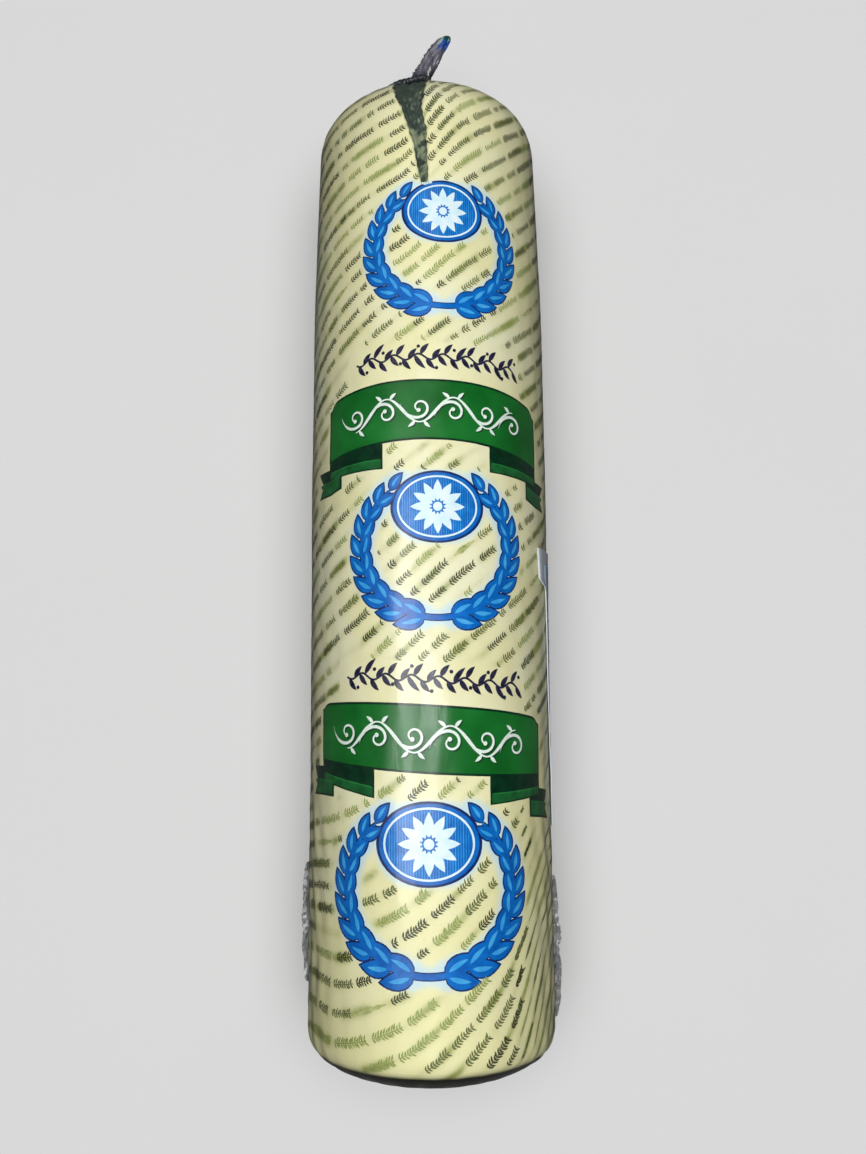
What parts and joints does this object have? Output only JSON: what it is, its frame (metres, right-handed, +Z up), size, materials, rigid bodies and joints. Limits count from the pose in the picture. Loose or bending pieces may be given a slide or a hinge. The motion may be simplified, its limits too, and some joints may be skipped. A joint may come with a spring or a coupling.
{
  "type": "pasta filata cheese",
  "caption": "Log of pasta filata cheese in a printed film casing, its ends gathered and clipped, lying on its side with a twisted tail of film at one end.",
  "frame": {"origin": "middle of the underside, on the surface that the log rests on", "axes": "+Y along the log towards the end with the film's tail, +Z up, +X to the side with the label"},
  "size_m": [0.0902, 0.3792, 0.0828],
  "materials": {
    "casing_print": "glossy printed film in cream, olive, green and blue",
    "gathered_film": "gathered film, grey with dark green and blue print",
    "clip_metal": "bare crimped wire",
    "label_paper": "bluish white paper",
    "clear_film": "clear crumpled film"
  },
  "bodies": {
    "root": {"cheese_log": "casing_print", "casing_tail": "gathered_film", "casing_tuft": "gathered_film", "clip_far": "clip_metal", "clip_near": "clip_metal", "label": "label_paper", "film_ear_left": "clear_film", "film_ear_right": "clear_film"}
  },
  "joints": []
}
